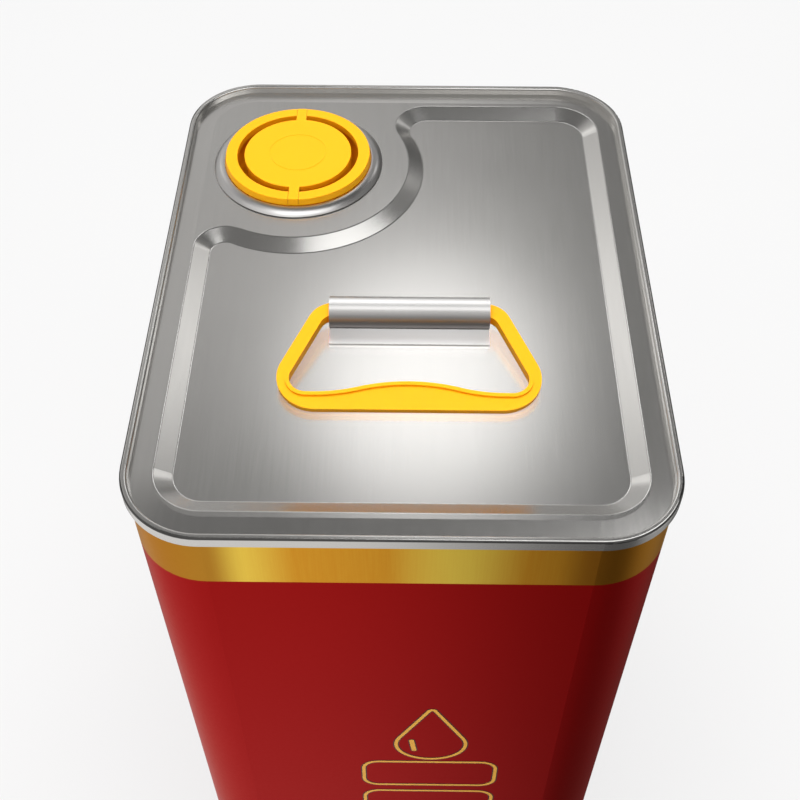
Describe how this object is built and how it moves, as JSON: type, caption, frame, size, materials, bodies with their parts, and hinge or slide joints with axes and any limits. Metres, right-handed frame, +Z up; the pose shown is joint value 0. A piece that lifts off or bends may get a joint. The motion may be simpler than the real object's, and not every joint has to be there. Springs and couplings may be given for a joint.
{
  "type": "motor oil can",
  "caption": "Rectangular tinplate oil can with rounded corners, recessed lid, swing carrying handle and a pull-up pouring spout under a screw cap.",
  "frame": {"origin": "centre of the can's footprint, on the ground under its base seam", "axes": "+Z up along the can, +X to the can's right as seen from the front, front face at -Y, spout at the back left"},
  "size_m": [0.168, 0.2184, 0.3056],
  "materials": {
    "printed_tinplate": "gloss red print with a gold band",
    "tinplate": "satin bare tinplate",
    "strap_steel": "brushed, rolled",
    "ring_steel": "satin, spun",
    "sealing_compound": "matt",
    "gasket_rubber": "matt",
    "yellow_plastic": "smooth, satin gloss",
    "natural_polyethylene": "milky, soft sheen",
    "liner_foam": "fine closed-cell foam"
  },
  "bodies": {
    "can": {"body_shell": "printed_tinplate", "top_end": "tinplate", "bottom_end": "tinplate", "top_seam_seal": "sealing_compound", "bottom_seam_seal": "sealing_compound", "handle_strap": "strap_steel", "crimp_ring": "ring_steel", "neck_gasket": "gasket_rubber", "spout_skirt": "yellow_plastic"},
    "handle": {"handle": "yellow_plastic"},
    "spout": {"spout_tube": "yellow_plastic", "tear_out_seal": "natural_polyethylene"},
    "liner": {"cap_liner": "liner_foam"},
    "cap": {"cap": "yellow_plastic"},
    "bail_left": {"bail_left": "yellow_plastic"},
    "bail_right": {"bail_right": "yellow_plastic"}
  },
  "joints": [
    {"name": "handle_swing", "type": "hinge", "parent": "can", "child": "handle", "pos_m": [0.002, -0.0192, 0.30025], "axis": [-1, 0, 0], "range_deg": [0, 186]},
    {"name": "spout_pull", "type": "slide", "parent": "can", "child": "spout", "axis": [0, 0, 1], "range_m": [0, 0.044], "deforming": ["spout_skirt"]},
    {"name": "cap_rise", "type": "slide", "parent": "spout", "child": "liner", "axis": [0, 0, 1], "range_m": [0, 0.0046]},
    {"name": "cap_turn", "type": "hinge", "parent": "liner", "child": "cap", "pos_m": [-0.0404, 0.062, 0.3027], "axis": [0, 0, 1], "range_deg": [0, 540]},
    {"name": "bail_left_lift", "type": "hinge", "parent": "cap", "child": "bail_left", "pos_m": [-0.04237, 0.062, 0.3027], "axis": [0, 1, 0], "range_deg": [0, 90]},
    {"name": "bail_right_lift", "type": "hinge", "parent": "cap", "child": "bail_right", "pos_m": [-0.03843, 0.062, 0.3027], "axis": [0, -1, 0], "range_deg": [0, 90]}
  ],
  "couplings": [
    {"joint": "cap_rise", "follows": "cap_turn", "m_per_rad": 0.00047746}
  ]
}
